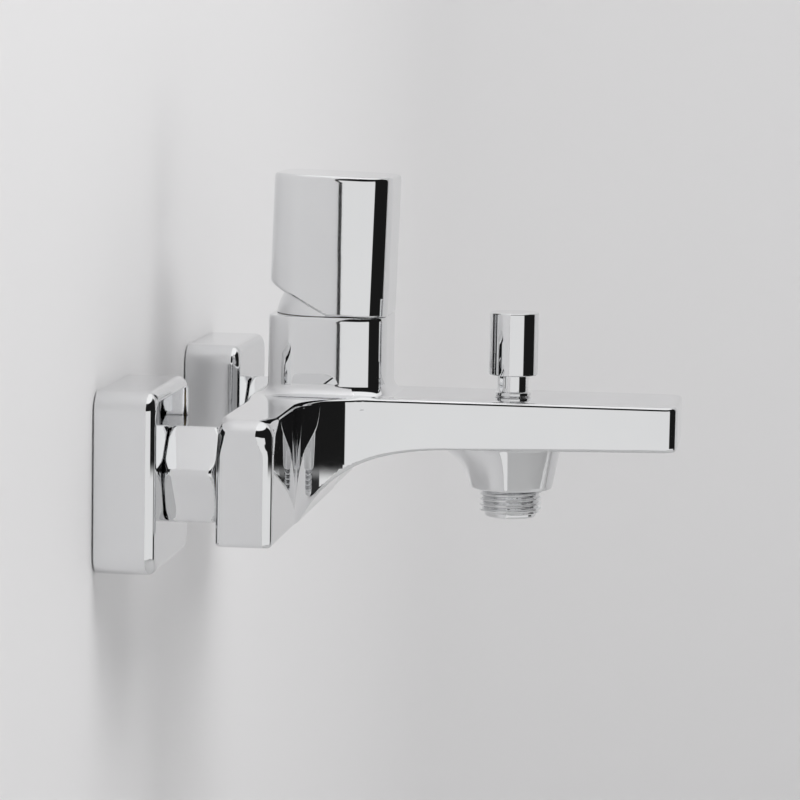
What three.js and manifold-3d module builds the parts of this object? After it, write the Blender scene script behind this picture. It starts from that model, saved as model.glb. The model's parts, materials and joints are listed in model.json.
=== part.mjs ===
// Wall mounted bath faucet: single-lever mixer with a pull-up shower diverter.
// Millimetres, +Z up. The wall is the plane Y = 0 and the spout points along -Y.
// The origin lies on the wall, midway between the two inlets, at inlet height.
import * as THREE from 'three';
import { mergeVertices } from 'three/addons/utils/BufferGeometryUtils.js';
import Module from 'manifold-3d';

const wasm = await Module();
wasm.setup();

// ---------------------------------------------------------------- driving dimensions
const GAP = 0.3;               // clearance kept between touching pieces
const ROUND = 24;              // segments around a large round piece
const SMALL_ROUND = 16;        // segments around a small round piece

// wall side
const INLET_SPACING = 150;     // between the two inlet axes
const PLATE_SIZE = 58;         // square escutcheon
const PLATE_CORNER = 6.5;
const PLATE_DEPTH = 19.5;
const PLATE_EDGE = 3.3;        // rounding of the front edge
const PLATE_WALL = 2;
const NUT_ACROSS_FLATS = 30.4;
const NUT_TWIST = 10;          // degrees, how the union nuts happen to stand
const G34_RADIUS = 13.2;       // G 3/4 male thread
const G12_RADIUS = 10.48;      // G 1/2 male thread
const WALL_THREAD_LENGTH = 22; // reaches into the wall fitting
const ECCENTRIC_OFFSET = 7;    // wall thread axis below the inlet axis
const CONNECTOR_END = -27;

// body
const BAR_HALF_LENGTH = 94;
const BAR_BACK = -36.5;
const BAR_FRONT = -54.8;
const BODY_TOP = 20;
const BODY_BOTTOM = -20;
const BAR_CORNER = 3;           // seen from above
const BAR_EDGE = 5.5;          // rounding over the top of the crossbar's ends
const BAR_EDGE_BELOW = 2;
const SIDE_FILLET = 26;        // concave, where the crossbar meets the spout
const SPOUT_HALF_WIDTH = 21.5;
const SPOUT_TIP = -177.5;
const TIP_CORNER = 4.5;
const UNDERSIDE_AT_TIP = 5;
const UNDERSIDE_CURVE = [-61.2, -4.2, -76.6, 3.1, -104, 3.5]; // two handles and the end, each Y, Z
const INLET_SOCKET_RADIUS = 10.7; // thread for the inlet nipple
const INLET_SOCKET_END = -44.9;
const INLET_BORE_RADIUS = 7;
const INLET_BORE_END = -51;
const CHANNEL_RADIUS = 6;      // from each inlet towards the middle
const CHANNEL_Y = -46.5;
const PORT_RADIUS = 4;         // up into the cartridge, and on towards the outlets
const PORT_X = 8;              // hot and cold ports, each side of the middle
const INLET_PORT_Y = -53.5;
const OUTLET_PORT_Y = -67.5;
const TO_DIVERTER_Z = 10.5;    // passage from the cartridge to the diverter
const TO_AERATOR_Z = 13.2;     // passage from the diverter to the aerator

// neck, cartridge and handle
const NECK_Y = -59.4;          // the axis that the handle turns about
const NECK_WIDTH = 40;
const NECK_CORNER = 10;
const NECK_TOP = 46.5;
const CAVITY_RADIUS = 17.7;
const CAVITY_FLOOR = 15;
const THREAD_RADIUS = 18.6;    // the retaining nut's thread in the neck
const THREAD_START = 40;
const PIVOT_Z = 43.5;          // the lever's pin
const DOME_RADIUS = 19.1;      // cover, a sphere about the pivot
const DOME_RIM = 18.8;
const DOME_TOP = 57;
const HANDLE_BOTTOM = 47.1;
const HANDLE_TOP = 93.6;
const HANDLE_WIDTH = 40;
const HANDLE_CORNER = 10;
const HANDLE_BEVEL = 27;       // degrees, the cut that lets the handle tip back
const CLOSED_LEAN = 1.6;       // degrees that the shut handle leans forward
const SCREW_Z = 69;            // set screw at the rear of the handle
const SCREW_HOLE_DEPTH = 12;
const POCKET = [57, 86];       // hollow ring inside the handle, from and to
const SOCKET = [55, 76];       // square hole that takes the lever's end, from and to
const LEVER_HALF_WIDTH = 4.2;
const PIN_RADIUS = 1.5;

// diverter and outlets
const DIVERTER_Y = -121.2;
const KNOB_RADIUS = 8.3;
const KNOB_BOTTOM = 27.3;
const KNOB_TOP = 48.4;
const TOWER_RADIUS = 5.2;
const CHAMBER_RADIUS = 8.2;
const CHAMBER_TOP = 17.2;
const BOSS_BOTTOM = -11.2;
const BOSS_TOP = 4.5;
const BOSS_BOTTOM_RADIUS = 13.9;
const BOSS_TOP_RADIUS = 16.9;
const BOSS_SWEEP = 0.75;       // how much further back the boss reaches at its top
const NIPPLE_SHOULDER = -11.5; // the hose thread starts here
const NIPPLE_END = -20.7;
const NIPPLE_BORE = 5.6;
const THREAD_ROOT = 9.4;
const THREAD_PITCH = 1.8;
const THREAD_TURNS = 4;
const AERATOR_Y = -162;
const AERATOR_RADIUS = 11.2;
const AERATOR_SEAT = 14;       // top of the aerator's recess
const AERATOR_RING_RADIUS = 10.8;
const AERATOR_RING_TOP = 11.4;

// ---------------------------------------------------------------- materials
const material = (color, roughness, metalness) =>
  new THREE.MeshStandardMaterial({ color, roughness, metalness });
const chrome = material(0xd9dadc, 0.06, 1);
const brass = material(0xc2a05a, 0.35, 1);
const steel = material(0xb4b6b8, 0.3, 1);
const rubber = material(0x1c1c1d, 0.85, 0);
const ceramic = material(0xf2f0ea, 0.25, 0);
const whitePlastic = material(0xe4e4e0, 0.5, 0);
const greyPlastic = material(0x6f7478, 0.5, 0);
const bluePlastic = material(0x2d5f9a, 0.45, 0);

// ---------------------------------------------------------------- solids and helpers
const radians = THREE.MathUtils.degToRad;

function solid(geometry) {
  const bare = geometry.clone();
  for (const name of Object.keys(bare.attributes)) {
    if (name !== 'position') bare.deleteAttribute(name);
  }
  const merged = mergeVertices(bare, 1e-4);
  return new wasm.Manifold(new wasm.Mesh({
    numProp: 3,
    vertProperties: new Float32Array(merged.attributes.position.array),
    triVerts: new Uint32Array(merged.index.array),
  }));
}

function geometryOf(shape) {
  const mesh = shape.getMesh();
  const geometry = new THREE.BufferGeometry();
  geometry.setAttribute('position', new THREE.BufferAttribute(new Float32Array(mesh.vertProperties), 3));
  geometry.setIndex(new THREE.BufferAttribute(new Uint32Array(mesh.triVerts), 1));
  geometry.computeVertexNormals();
  return geometry;
}

const join = (first, ...others) => others.reduce((sum, piece) => sum.add(piece), first);
const cut = (first, ...others) => others.reduce((rest, piece) => rest.subtract(piece), first);

function cylinder(axis, radius, from, to, a = 0, b = 0, segments = ROUND) {
  const geometry = new THREE.CylinderGeometry(radius, radius, Math.abs(to - from), segments);
  const middle = (from + to) / 2;
  if (axis === 'z') geometry.rotateX(Math.PI / 2).translate(a, b, middle);
  if (axis === 'y') geometry.translate(a, middle, b);
  if (axis === 'x') geometry.rotateZ(Math.PI / 2).translate(middle, a, b);
  return solid(geometry);
}

function box(low, high) {
  const size = high.map((value, i) => value - low[i]);
  const middle = high.map((value, i) => (value + low[i]) / 2);
  return solid(new THREE.BoxGeometry(...size).translate(...middle));
}

// A closed section, given as [radius, height] points, turned about the Y axis.
function turned(points, segments) {
  const profile = points.map(([radius, height]) => new THREE.Vector2(radius, height));
  if (THREE.ShapeUtils.area(profile) < 0) profile.reverse();
  profile.push(profile[0].clone());
  return new THREE.LatheGeometry(profile, segments);
}

const turnedZ = (points, x, y, segments = ROUND) =>
  solid(turned(points, segments).rotateX(Math.PI / 2).translate(x, y, 0));
const turnedY = (points, x, z, segments = ROUND) =>
  solid(turned(points, segments).translate(x, 0, z));

const ringZ = (inner, outer, from, to, x, y, segments = ROUND) =>
  turnedZ([[inner, from], [outer, from], [outer, to], [inner, to]], x, y, segments);
const ringY = (inner, outer, from, to, x, z, segments = ROUND) =>
  turnedY([[inner, from], [outer, from], [outer, to], [inner, to]], x, z, segments);

function roundedRectangle(width, height, corner) {
  const shape = new THREE.Shape();
  const [w, h] = [width / 2, height / 2];
  shape.moveTo(-w + corner, -h);
  shape.lineTo(w - corner, -h);
  shape.absarc(w - corner, -h + corner, corner, -Math.PI / 2, 0);
  shape.lineTo(w, h - corner);
  shape.absarc(w - corner, h - corner, corner, 0, Math.PI / 2);
  shape.lineTo(-w + corner, h);
  shape.absarc(-w + corner, h - corner, corner, Math.PI / 2, Math.PI);
  shape.lineTo(-w, -h + corner);
  shape.absarc(-w + corner, -h + corner, corner, Math.PI, Math.PI * 1.5);
  return shape;
}

function extrudeZ(shape, from, to, x = 0, y = 0, curveSegments = 5) {
  const settings = { depth: to - from, bevelEnabled: false, curveSegments };
  return solid(new THREE.ExtrudeGeometry(shape, settings).translate(x, y, from));
}

// A [y, z] outline pushed along X.
function extrudeX(shape, from, to, curveSegments = 12) {
  const settings = { depth: to - from, bevelEnabled: false, curveSegments };
  const geometry = new THREE.ExtrudeGeometry(shape, settings);
  geometry.rotateZ(Math.PI / 2).rotateY(Math.PI / 2).translate(from, 0, 0);
  return solid(geometry);
}

class Helix extends THREE.Curve {
  constructor(radius, from, to, turns) {
    super();
    Object.assign(this, { radius, from, to, turns });
  }

  getPoint(t) {
    const angle = t * this.turns * Math.PI * 2;
    const z = this.from + (this.to - this.from) * t;
    return new THREE.Vector3(this.radius * Math.cos(angle), this.radius * Math.sin(angle), z);
  }
}

function coilSpring(radius, wire, from, to, turns, x, y) {
  const section = new THREE.Shape().absarc(0, 0, wire / 2, 0, Math.PI * 2);
  const path = new Helix(radius, from + wire / 2, to - wire / 2, turns);
  const settings = { steps: turns * 9, extrudePath: path, curveSegments: 3 };
  return solid(new THREE.ExtrudeGeometry(section, settings).translate(x, y, 0));
}

const faucet = new THREE.Group();

function place(name, shape, look, parent = faucet) {
  const mesh = new THREE.Mesh(geometryOf(shape), look);
  mesh.name = name;
  parent.add(mesh);
  return mesh;
}

// ---------------------------------------------------------------- wall connections
function escutcheon(x) {
  const outline = roundedRectangle(
    PLATE_SIZE - 2 * PLATE_EDGE, PLATE_SIZE - 2 * PLATE_EDGE, PLATE_CORNER - PLATE_EDGE);
  const settings = {
    depth: PLATE_DEPTH * 2 - 2 * PLATE_EDGE, bevelThickness: PLATE_EDGE, bevelSize: PLATE_EDGE,
    bevelSegments: 4, curveSegments: 3,
  };
  const block = new THREE.ExtrudeGeometry(outline, settings);
  block.rotateX(Math.PI / 2).translate(0, PLATE_DEPTH - PLATE_EDGE, 0).translate(x, 0, 0);
  const half = PLATE_SIZE / 2 - PLATE_WALL;
  return cut(
    solid(block),
    box([x - PLATE_SIZE, 0, -PLATE_SIZE], [x + PLATE_SIZE, PLATE_DEPTH * 2, PLATE_SIZE]),
    box([x - half, -PLATE_DEPTH + PLATE_WALL, -half], [x + half, 1, half]),
    cylinder('y', G34_RADIUS + 2 * GAP, -PLATE_DEPTH - 1, 1, x, 0));
}

function eccentricConnector(x) {
  const flangeBack = -0.5;
  const flangeFront = -5;
  const wallZ = -ECCENTRIC_OFFSET;
  const outer = join(
    cylinder('y', G12_RADIUS, flangeFront, WALL_THREAD_LENGTH, x, wallZ),
    cylinder('y', 17, flangeFront, flangeBack, x, wallZ / 2),
    cylinder('y', G34_RADIUS, CONNECTOR_END, flangeFront + 1, x, 0));
  return cut(
    outer,
    cylinder('y', 6.5, -12, WALL_THREAD_LENGTH + 1, x, wallZ),
    cylinder('y', 8, CONNECTOR_END - 1, -6, x, 0));
}

const escutcheonRing = (x) => ringY(G34_RADIUS + GAP, 16, -17.2, -15.4, x, 0);

function unionNut(x) {
  const radius = NUT_ACROSS_FLATS / Math.sqrt(3);
  const front = BAR_BACK + GAP;
  const back = -PLATE_DEPTH - GAP;
  const hexagon = new THREE.CylinderGeometry(radius, radius, back - front, 6);
  hexagon.rotateY(Math.PI / 6 + radians(NUT_TWIST)).translate(x, (front + back) / 2, 0);
  const chamfer = 1.5;
  const round = turnedY([
    [0, front], [radius - chamfer, front], [radius, front + chamfer],
    [radius, back - chamfer], [radius - chamfer, back], [0, back],
  ], x, 0, ROUND);
  return cut(
    solid(hexagon).intersect(round),
    cylinder('y', G34_RADIUS + GAP, -31.5, back + 1, x, 0),
    cylinder('y', 10.7, front - 1, -31, x, 0));
}

const filterWasher = (x) => ringY(8, 12.8, -29.3, CONNECTOR_END - GAP, x, 0);

const inletNipple = (x) => turnedY([
  [7, -44.5], [10.4, -44.5], [10.4, -31.2], [12.8, -31.2], [12.8, -29.6], [7, -29.6],
], x, 0);

for (const [side, sign] of [['left', -1], ['right', 1]]) {
  const x = (sign * INLET_SPACING) / 2;
  place(`eccentric_connector_${side}`, eccentricConnector(x), chrome);
  place(`escutcheon_${side}`, escutcheon(x), chrome);
  place(`escutcheon_ring_${side}`, escutcheonRing(x), rubber);
  place(`union_nut_${side}`, unionNut(x), chrome);
  place(`filter_washer_${side}`, filterWasher(x), rubber);
  place(`inlet_nipple_${side}`, inletNipple(x), brass);
}

// ---------------------------------------------------------------- body
function planOutline() {
  const shape = new THREE.Shape();
  const [end, corner] = [BAR_HALF_LENGTH, BAR_CORNER];
  const fillet = SPOUT_HALF_WIDTH + SIDE_FILLET;
  shape.moveTo(-end + corner, BAR_BACK);
  shape.absarc(-end + corner, BAR_BACK - corner, corner, Math.PI / 2, Math.PI);
  shape.absarc(-end + corner, BAR_FRONT + corner, corner, Math.PI, Math.PI * 1.5);
  shape.absarc(-fillet, BAR_FRONT - SIDE_FILLET, SIDE_FILLET, Math.PI / 2, 0, true);
  shape.absarc(-SPOUT_HALF_WIDTH + TIP_CORNER, SPOUT_TIP + TIP_CORNER, TIP_CORNER, Math.PI, Math.PI * 1.5);
  shape.absarc(SPOUT_HALF_WIDTH - TIP_CORNER, SPOUT_TIP + TIP_CORNER, TIP_CORNER, -Math.PI / 2, 0);
  shape.absarc(fillet, BAR_FRONT - SIDE_FILLET, SIDE_FILLET, Math.PI, Math.PI / 2, true);
  shape.absarc(end - corner, BAR_FRONT + corner, corner, -Math.PI / 2, 0);
  shape.absarc(end - corner, BAR_BACK - corner, corner, 0, Math.PI / 2);
  return shape;
}

function sideOutline() {
  const shape = new THREE.Shape();
  shape.moveTo(BAR_BACK, BODY_BOTTOM);
  shape.lineTo(BAR_FRONT, BODY_BOTTOM);
  shape.bezierCurveTo(...UNDERSIDE_CURVE);
  shape.lineTo(SPOUT_TIP, UNDERSIDE_AT_TIP);
  shape.lineTo(SPOUT_TIP, BODY_TOP);
  shape.lineTo(BAR_BACK, BODY_TOP);
  return shape;
}

// The front outline: the crossbar's ends are rounded more at the top than at the bottom.
function endOutline() {
  const shape = new THREE.Shape();
  const [end, over, under] = [BAR_HALF_LENGTH, BAR_EDGE, BAR_EDGE_BELOW];
  shape.moveTo(-end + under, BODY_BOTTOM);
  shape.absarc(end - under, BODY_BOTTOM + under, under, -Math.PI / 2, 0);
  shape.absarc(end - over, BODY_TOP - over, over, 0, Math.PI / 2);
  shape.absarc(-end + over, BODY_TOP - over, over, Math.PI / 2, Math.PI);
  shape.absarc(-end + under, BODY_BOTTOM + under, under, Math.PI, Math.PI * 1.5);
  return shape;
}

// A cone under the spout that sweeps back into the underside towards the wall.
function boss() {
  const levels = 5;
  const [widening, height] = [BOSS_TOP_RADIUS - BOSS_BOTTOM_RADIUS, BOSS_TOP - BOSS_BOTTOM];
  const points = [new THREE.Vector2(0, BOSS_BOTTOM)];
  for (let i = 0; i <= levels; i += 1) {
    const t = i / levels;
    points.push(new THREE.Vector2(BOSS_BOTTOM_RADIUS + widening * t, BOSS_BOTTOM + height * t));
  }
  points.push(new THREE.Vector2(0, BOSS_TOP));
  const geometry = new THREE.LatheGeometry(points, ROUND).rotateX(Math.PI / 2);
  const position = geometry.attributes.position;
  for (let i = 0; i < position.count; i += 1) {
    const t = (position.getZ(i) - BOSS_BOTTOM) / height;
    const y = position.getY(i);
    if (y > 0) position.setY(i, y * (1 + BOSS_SWEEP * t ** 3));
  }
  return solid(geometry.translate(0, DIVERTER_Y, 0));
}

function bodyShell() {
  const plan = extrudeZ(planOutline(), BODY_BOTTOM, BODY_TOP);
  const side = extrudeX(sideOutline(), -BAR_HALF_LENGTH, BAR_HALF_LENGTH);
  const settings = { depth: 1.1 * -SPOUT_TIP, bevelEnabled: false, curveSegments: 6 };
  const ends = new THREE.ExtrudeGeometry(endOutline(), settings).rotateX(Math.PI / 2);
  const square = roundedRectangle(NECK_WIDTH, NECK_WIDTH, NECK_CORNER);
  const neck = extrudeZ(square, CAVITY_FLOOR + 1, NECK_TOP, 0, NECK_Y);
  return join(plan.intersect(side).intersect(solid(ends)), neck, boss());
}

function inletPassages(sign) {
  const x = (sign * INLET_SPACING) / 2;
  return join(
    cylinder('y', INLET_SOCKET_RADIUS, INLET_SOCKET_END, BAR_BACK + 1, x, 0),
    cylinder('y', INLET_BORE_RADIUS, INLET_BORE_END, INLET_SOCKET_END + 1, x, 0),
    cylinder('x', CHANNEL_RADIUS, sign * (PORT_X - PORT_RADIUS), x, CHANNEL_Y, 0, SMALL_ROUND),
    cylinder('z', PORT_RADIUS, 0, CAVITY_FLOOR + 1, sign * PORT_X, INLET_PORT_Y, SMALL_ROUND));
}

function outletPassages() {
  return join(
    cylinder('z', PORT_RADIUS, TO_DIVERTER_Z - 2, CAVITY_FLOOR + 1, 0, OUTLET_PORT_Y, SMALL_ROUND),
    cylinder('y', PORT_RADIUS, DIVERTER_Y, OUTLET_PORT_Y, 0, TO_DIVERTER_Z, SMALL_ROUND),
    cylinder('z', CHAMBER_RADIUS, BOSS_BOTTOM - 1, CHAMBER_TOP, 0, DIVERTER_Y, ROUND),
    cylinder('z', TOWER_RADIUS + GAP, CHAMBER_TOP - 1, BODY_TOP + 1, 0, DIVERTER_Y, ROUND),
    cylinder('y', PORT_RADIUS, AERATOR_Y, DIVERTER_Y, 0, TO_AERATOR_Z, SMALL_ROUND),
    cylinder('z', AERATOR_RADIUS, 0, AERATOR_SEAT, 0, AERATOR_Y, ROUND));
}

function body() {
  const cartridgeSeat = join(
    cylinder('z', CAVITY_RADIUS, CAVITY_FLOOR, NECK_TOP, 0, NECK_Y),
    cylinder('z', THREAD_RADIUS, THREAD_START, NECK_TOP + 1, 0, NECK_Y));
  return cut(bodyShell(), cartridgeSeat, inletPassages(-1), inletPassages(1), outletPassages());
}

place('body', body(), chrome);

// ---------------------------------------------------------------- cartridge
const PORTS = [
  ['hot', -PORT_X, INLET_PORT_Y],
  ['cold', PORT_X, INLET_PORT_Y],
  ['outlet', 0, OUTLET_PORT_Y],
];
const CASE_RADIUS = 17.3;       // outside of the base and the housing
const BASE_BOTTOM = 15.8;
const BASE_TOP = 20;
const GROOVE_RADIUS = 15.4;     // for the O-ring
const GROOVE = [17.1, 19.1];
const DISC_HOLE_RADIUS = 3.2;
const SEAL_RADIUS = 5.4;        // recess for a port seal
const SEAL_TOP = 17.3;
const FIXED_DISC = { radius: 14.4, from: 20.3, to: 24 };
const MOVING_DISC = { radius: 11.2, from: 24.3, to: 27.3 };
const CARRIER_TOP = 32;
const CASE_TOP = 46.2;          // housing, rotor and retaining nut end here
const HOUSING_SHOULDER = 39.7;
const ROTOR_BOTTOM = 32.4;
const ROTOR_FLANGE = 34.6;
const BALL_Z = 31.4;            // where the lever drives the disc carrier
const DISC_OFFSET = 2.3;        // moving disc behind the axis when shut
const leanedBack = (PIVOT_Z - BALL_Z) * Math.sin(radians(CLOSED_LEAN));

function portHoles(radius, from, to) {
  const [first, ...others] = PORTS.map(([, x, y]) => cylinder('z', radius, from, to, x, y, SMALL_ROUND));
  return join(first, ...others);
}

function cartridgeBase() {
  const plate = turnedZ([
    [0, BASE_BOTTOM], [CASE_RADIUS, BASE_BOTTOM], [CASE_RADIUS, GROOVE[0]], [GROOVE_RADIUS, GROOVE[0]],
    [GROOVE_RADIUS, GROOVE[1]], [CASE_RADIUS, GROOVE[1]], [CASE_RADIUS, BASE_TOP], [0, BASE_TOP],
  ], 0, NECK_Y);
  const ports = portHoles(DISC_HOLE_RADIUS, BASE_BOTTOM - 1, BASE_TOP + 1);
  return cut(plate, ports, portHoles(SEAL_RADIUS, BASE_BOTTOM - 1, SEAL_TOP));
}

function fixedDisc() {
  const { radius, from, to } = FIXED_DISC;
  return cut(cylinder('z', radius, from, to, 0, NECK_Y), portHoles(DISC_HOLE_RADIUS, from - 1, to + 1));
}

function movingDisc() {
  const { radius, from, to } = MOVING_DISC;
  const [y, recessRadius, recessDepth] = [NECK_Y + DISC_OFFSET, 6.5, 1.7];
  const recess = cylinder('z', recessRadius, from - 1, from + recessDepth, 0, y - 1, SMALL_ROUND);
  return cut(cylinder('z', radius, from, to, 0, y), recess);
}

function discCarrier() {
  const [bottom, socketBottom, halfWidth, halfLength] = [MOVING_DISC.to + GAP, 28, 3.6, 3.4];
  const disc = cylinder('z', MOVING_DISC.radius, bottom, CARRIER_TOP, 0, NECK_Y + DISC_OFFSET);
  const middle = NECK_Y + leanedBack;
  return cut(disc, box(
    [-halfWidth, middle - halfLength, socketBottom], [halfWidth, middle + halfLength, CARRIER_TOP + 1]));
}

function cartridgeHousing() {
  const [wide, narrow, collar] = [15, 14, 15.1];
  const [bottom, step] = [BASE_TOP + GAP, ROTOR_FLANGE + 0.4];
  return turnedZ([
    [wide, bottom], [CASE_RADIUS, bottom], [CASE_RADIUS, HOUSING_SHOULDER], [collar, HOUSING_SHOULDER],
    [collar, CASE_TOP], [narrow, CASE_TOP], [narrow, step], [wide, step],
  ], 0, NECK_Y);
}

function rotor() {
  const [flange, waist] = [14.6, 13.6];
  const turret = turnedZ([
    [0, ROTOR_BOTTOM], [flange, ROTOR_BOTTOM], [flange, ROTOR_FLANGE], [waist, ROTOR_FLANGE],
    [waist, CASE_TOP], [0, CASE_TOP],
  ], 0, NECK_Y);
  const [half, front, back] = [LEVER_HALF_WIDTH + 0.5, NECK_Y - 11.5, NECK_Y + 9];
  const slot = box([-half, front, ROTOR_BOTTOM - 1], [half, back, CASE_TOP + 1]);
  const pinHole = cylinder('x', PIN_RADIUS + GAP, -flange, flange, NECK_Y, PIVOT_Z, SMALL_ROUND);
  return cut(turret, slot, pinHole);
}

// The lever, drawn upright about the pivot and then leaned forward with the handle.
function lever() {
  const [half, bottom, armRadius, ballRadius] = [LEVER_HALF_WIDTH, 36, 2.6, 3];
  const shaft = box([-half, NECK_Y - half, bottom], [half, NECK_Y + half, SOCKET[1] - 1]);
  const arm = cylinder('z', armRadius, BALL_Z, bottom + 2, 0, NECK_Y, SMALL_ROUND);
  const ball = solid(new THREE.SphereGeometry(ballRadius, 12, 8).translate(0, NECK_Y, BALL_Z));
  const pinHole = cylinder('x', PIN_RADIUS + GAP, -half - 1, half + 1, NECK_Y, PIVOT_Z, SMALL_ROUND);
  return cut(join(shaft, arm, ball), pinHole);
}

const pin = () => cylinder('x', PIN_RADIUS, -13.2, 13.2, NECK_Y, PIVOT_Z, SMALL_ROUND);

function retainingNut() {
  const [bore, notchHalf, notchBottom, notchRadius] = [15.4, 2.5, 44, 17];
  const ring = ringZ(bore, THREAD_RADIUS - GAP, THREAD_START + GAP, CASE_TOP, 0, NECK_Y);
  const notches = [[1, 0], [-1, 0], [0, 1], [0, -1]].map(([across, along]) => {
    const [x, y] = [across * notchRadius, NECK_Y + along * notchRadius];
    return box([x - notchHalf, y - notchHalf, notchBottom], [x + notchHalf, y + notchHalf, CASE_TOP + 1]);
  });
  return cut(ring, ...notches);
}

function domeCover() {
  const steps = 5;
  const first = Math.asin(DOME_RIM / DOME_RADIUS);
  const last = Math.acos((DOME_TOP - PIVOT_Z) / DOME_RADIUS);
  const arc = [];
  for (let i = 0; i <= steps; i += 1) {
    const angle = first + ((last - first) * i) / steps;
    arc.push([DOME_RADIUS * Math.sin(angle), PIVOT_Z + DOME_RADIUS * Math.cos(angle)]);
  }
  const [mouth, inside, wall] = [12, 15.6, 1.5];
  return turnedZ([
    [inside, NECK_TOP], [DOME_RIM, NECK_TOP], ...arc, [mouth, DOME_TOP], [mouth, DOME_TOP - wall],
    [inside, 52],
  ], 0, NECK_Y);
}

place('cartridge_base', cartridgeBase(), whitePlastic);
for (const [name, x, y] of PORTS) {
  place(`port_seal_${name}`, ringZ(3.5, 5.1, CAVITY_FLOOR + GAP, 17, x, y, SMALL_ROUND), rubber);
}
place('cartridge_oring', ringZ(15.7, 17.4, 17.4, 18.8, 0, NECK_Y), rubber);
place('fixed_disc', fixedDisc(), ceramic);
place('moving_disc', movingDisc(), ceramic);
place('disc_carrier', discCarrier(), greyPlastic);
place('cartridge_housing', cartridgeHousing(), whitePlastic);
place('rotor', rotor(), bluePlastic);
place('lever_pin', pin(), steel);
place('retaining_nut', retainingNut(), brass);
place('dome_cover', domeCover(), chrome);

// ---------------------------------------------------------------- handle
function handle() {
  const outline = roundedRectangle(HANDLE_WIDTH, HANDLE_WIDTH, HANDLE_CORNER);
  const block = extrudeZ(outline, HANDLE_BOTTOM, HANDLE_TOP, 0, NECK_Y);
  const [reach, below] = [0.75 * HANDLE_WIDTH, HANDLE_BOTTOM - 5];
  const wedge = new THREE.Shape();
  wedge.moveTo(NECK_Y, HANDLE_BOTTOM);
  wedge.lineTo(NECK_Y + reach, HANDLE_BOTTOM + Math.tan(radians(HANDLE_BEVEL)) * reach);
  wedge.lineTo(NECK_Y + reach, below);
  wedge.lineTo(NECK_Y, below);
  const hollow = solid(new THREE.SphereGeometry(DOME_RADIUS + GAP, ROUND, 16)
    .rotateX(Math.PI / 2).translate(0, NECK_Y, PIVOT_Z));
  const [pocketInside, pocketOutside, screwRadius, plugRadius] = [8, 15.5, 2.8, 4];
  const pocket = ringZ(pocketInside, pocketOutside, ...POCKET, 0, NECK_Y);
  const half = LEVER_HALF_WIDTH + GAP;
  const socket = box([-half, NECK_Y - half, SOCKET[0]], [half, NECK_Y + half, SOCKET[1]]);
  const step = NECK_Y + SCREW_HOLE_DEPTH;
  const screwHole = cylinder('y', screwRadius, NECK_Y, step, 0, SCREW_Z, SMALL_ROUND);
  const plugHole = cylinder('y', plugRadius, step, NECK_Y + HANDLE_WIDTH / 2 + 5, 0, SCREW_Z, SMALL_ROUND);
  const bevel = extrudeX(wedge, -HANDLE_WIDTH, HANDLE_WIDTH);
  return cut(block, bevel, hollow, pocket, socket, screwHole, plugHole);
}

// Everything that leans with the shut handle turns about the pivot together.
const leaning = new THREE.Group();
leaning.position.set(0, NECK_Y, PIVOT_Z);
leaning.rotation.x = radians(CLOSED_LEAN);
const upright = new THREE.Group();
upright.position.set(0, -NECK_Y, -PIVOT_Z);
leaning.add(upright);
faucet.add(leaning);

const screw = () => cylinder('y', 2.45, NECK_Y + 4.6, NECK_Y + 10, 0, SCREW_Z, SMALL_ROUND);
const plug = () => cylinder('y', 3.6, NECK_Y + 17, NECK_Y + 19.9, 0, SCREW_Z, SMALL_ROUND);
place('cartridge_lever', lever(), steel, upright);
place('handle', handle(), chrome, upright);
place('handle_set_screw', screw(), steel, upright);
place('screw_plug', plug(), chrome, upright);

// ---------------------------------------------------------------- diverter
function diverterKnob() {
  const cap = turnedZ([
    [0, KNOB_BOTTOM], [KNOB_RADIUS - 0.5, KNOB_BOTTOM], [KNOB_RADIUS, KNOB_BOTTOM + 0.5],
    [KNOB_RADIUS, KNOB_TOP - 0.6], [KNOB_RADIUS - 0.6, KNOB_TOP], [0, KNOB_TOP],
  ], 0, DIVERTER_Y);
  const [skirtRadius, skirtTop, rodHoleRadius, rodHoleTop] = [6, 39, 2.6, 45.5];
  const skirt = cylinder('z', skirtRadius, KNOB_BOTTOM - 1, skirtTop, 0, DIVERTER_Y);
  const rodHole = cylinder('z', rodHoleRadius, skirtTop - 1, rodHoleTop, 0, DIVERTER_Y, SMALL_ROUND);
  return cut(cap, skirt, rodHole);
}

// Fixed tube that the knob slides over, screwed into the top of the spout.
const diverterTower = () => turnedZ([
  [2.7, 38], [TOWER_RADIUS, 38], [TOWER_RADIUS, 21.6], [6, 21.6], [6, BODY_TOP + GAP],
  [TOWER_RADIUS, BODY_TOP + GAP], [TOWER_RADIUS, 15.2], [4.2, 15.2], [4.2, 30], [2.7, 30],
], 0, DIVERTER_Y);

const diverterRod = () => turnedZ([
  [0, 1.2], [2.3, 1.2], [2.3, 16.4], [3.6, 16.4], [3.6, 17.4], [2.3, 17.4], [2.3, 45.2], [0, 45.2],
], 0, DIVERTER_Y, SMALL_ROUND);

const diverterPiston = () => ringZ(2.6, 6, -0.9, 2, 0, DIVERTER_Y, SMALL_ROUND);

// Sleeve with the inlet window at the back, the spout's seat, and a window above it in front.
function diverterSleeve() {
  const sleeve = turnedZ([
    [6.6, -3], [7.9, -3], [7.9, 15], [6.6, 15], [6.6, 12.6], [4.4, 12.6], [4.4, 11.4], [6.6, 11.4],
  ], 0, DIVERTER_Y);
  return cut(
    sleeve,
    box([-3.4, DIVERTER_Y + 4, 6.9], [3.4, DIVERTER_Y + 9, 11]),
    box([-3.4, DIVERTER_Y - 9, 13], [3.4, DIVERTER_Y - 4, 16]));
}

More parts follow.
